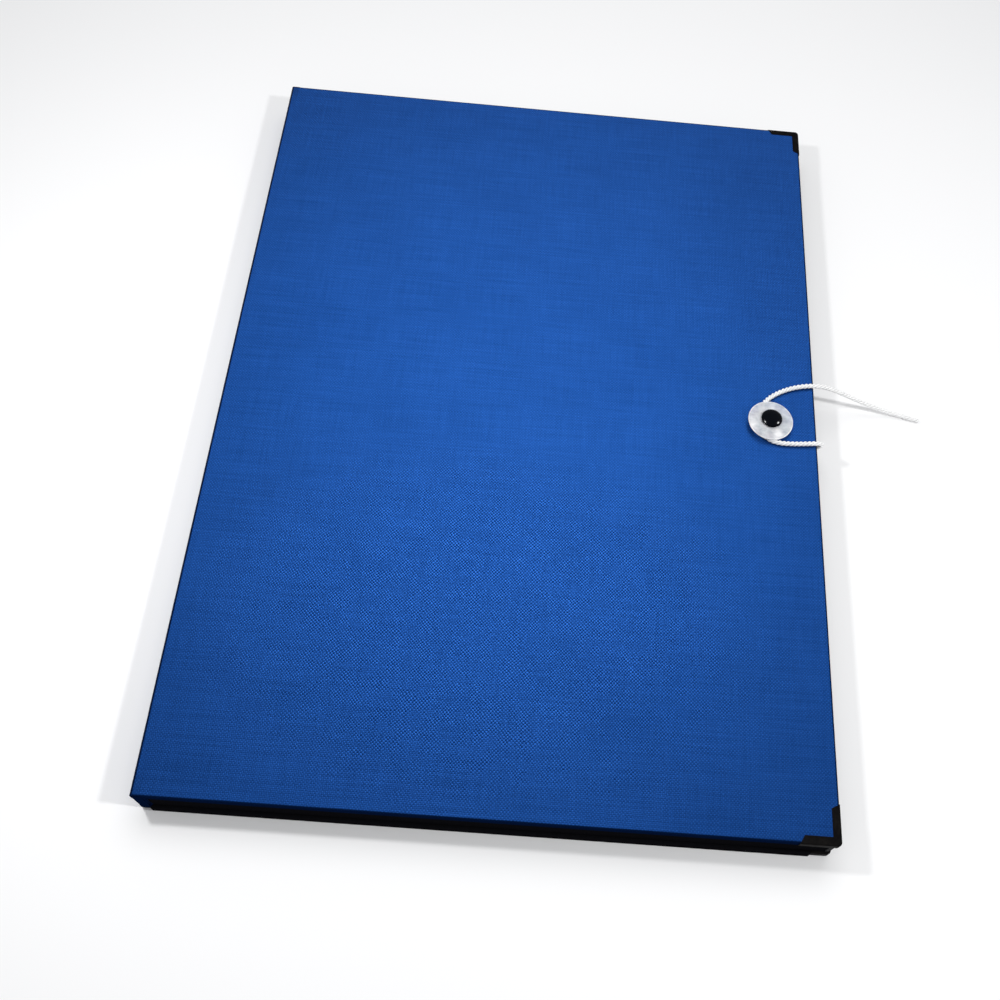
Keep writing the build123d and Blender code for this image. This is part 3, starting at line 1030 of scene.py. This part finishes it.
def smooth_line(route):
    """The points, cord_step apart, of a NURBS line of order 3 with the route's points as its
    control points, and how far along the line each one lies."""
    curve = bpy.data.curves.new("cord_line", "CURVE")
    curve.dimensions = "3D"
    spline = curve.splines.new("NURBS")
    spline.points.add(len(route) - 1)
    spline.points.foreach_set("co", np.c_[route, np.ones(len(route))].ravel())
    spline.order_u = 3
    spline.use_endpoint_u = True
    spline.resolution_u = 16
    carrier = bpy.data.objects.new("cord_line", curve)
    bpy.context.scene.collection.objects.link(carrier)
    bpy.context.view_layer.update()
    mesh = bpy.data.meshes.new_from_object(carrier)
    line = np.empty(len(mesh.vertices) * 3)
    mesh.vertices.foreach_get("co", line)
    bpy.data.objects.remove(carrier)
    bpy.data.curves.remove(curve)
    bpy.data.meshes.remove(mesh)
    line = line.reshape(-1, 3)
    run = np.r_[0.0, np.cumsum(np.linalg.norm(np.diff(line, axis=0), axis=1))]
    even = np.linspace(0.0, run[-1], int(run[-1] / cord_step) + 1)
    return np.stack([np.interp(even, run, line[:, axis]) for axis in range(3)], 1), even


def cord_strands(line, run, sides=12):
    """Three tubes with round ends that wind about the line: the middle of strand k stands off it at
    the angle 2 pi (run / lay + k / 3), in a frame that doesn't turn about the line."""
    along = np.gradient(line, axis=0)
    along /= np.linalg.norm(along, axis=1)[:, None]
    flat = np.cross(along, (0.0, 0.0, 1.0))
    flat /= np.linalg.norm(flat, axis=1)[:, None]
    rise = np.cross(flat, along)
    drift = np.r_[0.0, np.cumsum((np.diff(flat, axis=0) * (rise[1:] + rise[:-1]) / 2).sum(1))]
    around = np.linspace(0.0, 2 * np.pi, sides + 1)[None]
    end = np.minimum(run, run[-1] - run)
    swell = np.sqrt(np.clip(1 - (1 - np.minimum(end / strand_radius, 1.0)) ** 2, 0.0, 1.0))
    size = (strand_radius * swell)[:, None, None]
    lengths = run[:, None] + 0 * around
    place = np.stack([lengths, around / (2 * np.pi) + 0 * lengths], -1)
    strands = []
    for share in (0.0, 1 / 3, 2 / 3):
        turn = (2 * np.pi * (run / cord_lay + share) - drift)[:, None]
        out = np.cos(turn) * flat + np.sin(turn) * rise
        side = np.cross(along, out)
        middle = line + out * (cord_radius - strand_radius)
        ring = np.cos(around)[..., None] * out[:, None] + np.sin(around)[..., None] * side[:, None]
        strands.append((middle[:, None] + ring * size, place))
    return strands


cord_finish = Finish(
    "white_cord",
    Roughness=0.75,
    Specular_IOR_Level=0.25,
    Subsurface_Weight=0.7,
    Subsurface_Radius=(1.0, 1.0, 1.0),
    Subsurface_Scale=0.0008,
)
fibre_u, fibre_v = cord_finish.first_two(cord_finish.cloth_place())
fibre_wave = ((fibre_u * 0.9 + fibre_v * 9.0) * (2 * np.pi)).sine() * 0.5 + 0.5
fibre_lint = cord_finish.noise(cord_finish.place(), scale=2.2, detail=3.0)
fibre_tone = (fibre_wave * 0.35 + fibre_lint * 0.65).held()
cord_finish.give(Base_Color=cord_finish.mix(fibre_tone, (0.90, 0.90, 0.89), (1.0, 1.0, 0.99)))
cord_finish.relief(fibre_wave + fibre_lint, 0.05, 0.6)
cord_line, cord_run = smooth_line(cord_route)
cord = surface("white_cord", cord_strands(cord_line, cord_run), cord_finish)
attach(cord, "back_cover")
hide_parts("cord")
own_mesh(cord)
wear("cord_anchor", cord_finish)
